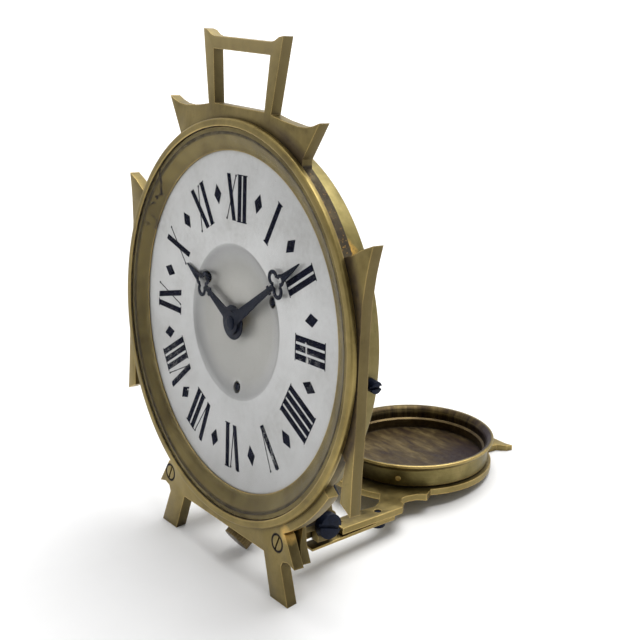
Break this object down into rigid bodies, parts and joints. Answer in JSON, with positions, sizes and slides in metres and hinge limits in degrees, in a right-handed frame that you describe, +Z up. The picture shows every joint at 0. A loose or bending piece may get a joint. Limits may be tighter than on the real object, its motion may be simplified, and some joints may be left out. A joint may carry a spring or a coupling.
{
  "type": "travel alarm clock",
  "caption": "Folding travel alarm clock: round dial in a flat brass frame with handle, wings and two feet, on a hinged rear base plate that carries a dish.",
  "frame": {"origin": "centre of the bounding box at the surface that the clock stands on", "axes": "+Z up, +Y from the dial towards the folding base at the rear, +X to the dial's three o'clock side; the frame leans back 10.2 degrees about X"},
  "size_m": [0.1052, 0.093, 0.1308],
  "materials": {
    "brass_casting": "aged, brushed, dark in the corners",
    "brass_turned": "aged, turned, bright on the edges",
    "brass_movement": "clean polished",
    "brass_dark": "dark brown patina",
    "dial_silver": "matt silvered, finely grained",
    "dial_ink": "dark blue-black filled engraving",
    "blued_steel": "dark blue heat-blued",
    "steel": "polished",
    "glass": "clear flat"
  },
  "bodies": {
    "case": {"frame_casting": "brass_casting", "bezel_rim": "brass_turned", "sight_ring": "brass_turned", "dial_glass": "glass", "dial": "dial_silver", "dial_numerals": "dial_ink", "dial_diamonds": "dial_ink", "drum_case": "brass_turned", "pillar_plate": "brass_movement", "plate_pillars": "brass_movement", "plate_screws": "blued_steel", "rear_cover": "brass_turned", "hinge_bracket_right": "brass_casting", "hinge_bracket_left": "brass_casting", "bracket_screws": "brass_casting", "pivot_screws": "blued_steel", "drum_screws": "blued_steel", "stop_bracket": "brass_casting", "stop_bracket_screw": "blued_steel", "minute_wheel_stud": "steel", "hairspring": "blued_steel", "train_bridge": "brass_movement", "bridge_pillars": "brass_movement", "bridge_screws": "blued_steel", "balance_cock": "brass_movement"},
    "base": {"base_frame": "brass_casting", "dish_cup": "brass_turned", "dish_liner": "brass_dark", "dish_pins": "brass_movement", "leaf_springs": "brass_casting", "spring_screws": "blued_steel"},
    "minute_train": {"minute_hand": "blued_steel", "hand_nut": "blued_steel", "cannon_pinion": "steel", "centre_arbor": "steel", "centre_wheel": "brass_movement"},
    "hour_train": {"hour_hand": "blued_steel", "hour_wheel": "brass_movement"},
    "minute_wheel": {"minute_wheel": "brass_movement"},
    "going_barrel": {"going_barrel": "brass_movement", "going_mainspring": "steel"},
    "going_arbor": {"going_arbor": "blued_steel"},
    "alarm_barrel": {"alarm_barrel": "brass_movement", "alarm_mainspring": "steel"},
    "alarm_arbor": {"alarm_arbor": "blued_steel"},
    "alarm_setting_arbor": {"alarm_setting_arbor": "blued_steel"},
    "third_wheel": {"third_wheel": "brass_movement"},
    "fourth_wheel": {"fourth_wheel": "brass_movement"},
    "escape_wheel": {"escape_wheel": "steel"},
    "pallet_lever": {"pallet_lever": "steel"},
    "balance_wheel": {"balance_wheel": "brass_movement"},
    "alarm_hammer": {"alarm_hammer": "steel"},
    "stop_button": {"stop_button": "brass_dark"}
  },
  "joints": [
    {"name": "base_fold", "type": "hinge", "parent": "case", "child": "base", "pos_m": [0, -0.02868, 0.01245], "axis": [1, 0, 0], "range_deg": [0, 85.87]},
    {"name": "minute_hand_turn", "type": "hinge", "parent": "case", "child": "minute_train", "pos_m": [0, -0.03401, 0.06131], "axis": [0, 0.9842, -0.1771], "continuous": true},
    {"name": "hour_hand_turn", "type": "hinge", "parent": "case", "child": "hour_train", "pos_m": [0, -0.03401, 0.06131], "axis": [0, 0.9842, -0.1771], "continuous": true},
    {"name": "minute_wheel_turn", "type": "hinge", "parent": "case", "child": "minute_wheel", "pos_m": [0.00649, -0.03222, 0.05718], "axis": [0, 0.9842, -0.1771], "continuous": true},
    {"name": "going_barrel_turn", "type": "hinge", "parent": "case", "child": "going_barrel", "pos_m": [0.01438, -0.02763, 0.0686], "axis": [0, 0.9842, -0.1771], "continuous": true},
    {"name": "going_arbor_wind", "type": "hinge", "parent": "case", "child": "going_arbor", "pos_m": [0.01438, -0.02861, 0.06877], "axis": [0, 0.9842, -0.1771], "continuous": true},
    {"name": "alarm_barrel_turn", "type": "hinge", "parent": "case", "child": "alarm_barrel", "pos_m": [-0.01438, -0.02763, 0.0686], "axis": [0, 0.9842, -0.1771], "continuous": true},
    {"name": "alarm_arbor_wind", "type": "hinge", "parent": "case", "child": "alarm_arbor", "pos_m": [-0.01438, -0.02861, 0.06877], "axis": [0, 0.9842, -0.1771], "continuous": true},
    {"name": "alarm_setting_turn", "type": "hinge", "parent": "case", "child": "alarm_setting_arbor", "pos_m": [0.00087, -0.03301, 0.04429], "axis": [0, 0.9842, -0.1771], "continuous": true},
    {"name": "third_wheel_turn", "type": "hinge", "parent": "case", "child": "third_wheel", "pos_m": [0.00438, -0.0265, 0.05226], "axis": [0, 0.9842, -0.1771], "continuous": true},
    {"name": "fourth_wheel_turn", "type": "hinge", "parent": "case", "child": "fourth_wheel", "pos_m": [-0.00256, -0.02573, 0.05088], "axis": [0, 0.9842, -0.1771], "continuous": true},
    {"name": "escape_wheel_turn", "type": "hinge", "parent": "case", "child": "escape_wheel", "pos_m": [-0.00749, -0.02424, 0.05351], "axis": [0, 0.9842, -0.1771], "continuous": true},
    {"name": "pallet_lever_rock", "type": "hinge", "parent": "case", "child": "pallet_lever", "pos_m": [-0.00999, -0.02348, 0.05777], "axis": [0, 0.9842, -0.1771], "range_deg": [-3, 3]},
    {"name": "balance_swing", "type": "hinge", "parent": "case", "child": "balance_wheel", "pos_m": [-0.00811, -0.02079, 0.06254], "axis": [0, 0.9842, -0.1771], "range_deg": [-180, 180], "stiffness_Nm_per_rad": 0.000001},
    {"name": "alarm_hammer_swing", "type": "hinge", "parent": "case", "child": "alarm_hammer", "pos_m": [0.006, -0.02231, 0.06988], "axis": [0, 0.9842, -0.1771], "range_deg": [-4, 10]},
    {"name": "stop_button_press", "type": "slide", "parent": "case", "child": "stop_button", "axis": [0, 0.8563, 0.5165], "range_m": [0, 0.0015], "stiffness_N_per_m": 150, "springref_m": -0.001}
  ],
  "couplings": [
    {"joint": "hour_hand_turn", "follows": "minute_hand_turn", "ratio": 0.083333},
    {"joint": "minute_wheel_turn", "follows": "minute_hand_turn", "ratio": -0.33333},
    {"joint": "going_barrel_turn", "follows": "minute_hand_turn", "ratio": -0.15278},
    {"joint": "third_wheel_turn", "follows": "minute_hand_turn", "ratio": -6},
    {"joint": "fourth_wheel_turn", "follows": "minute_hand_turn", "ratio": 42},
    {"joint": "escape_wheel_turn", "follows": "minute_hand_turn", "ratio": -300}
  ]
}
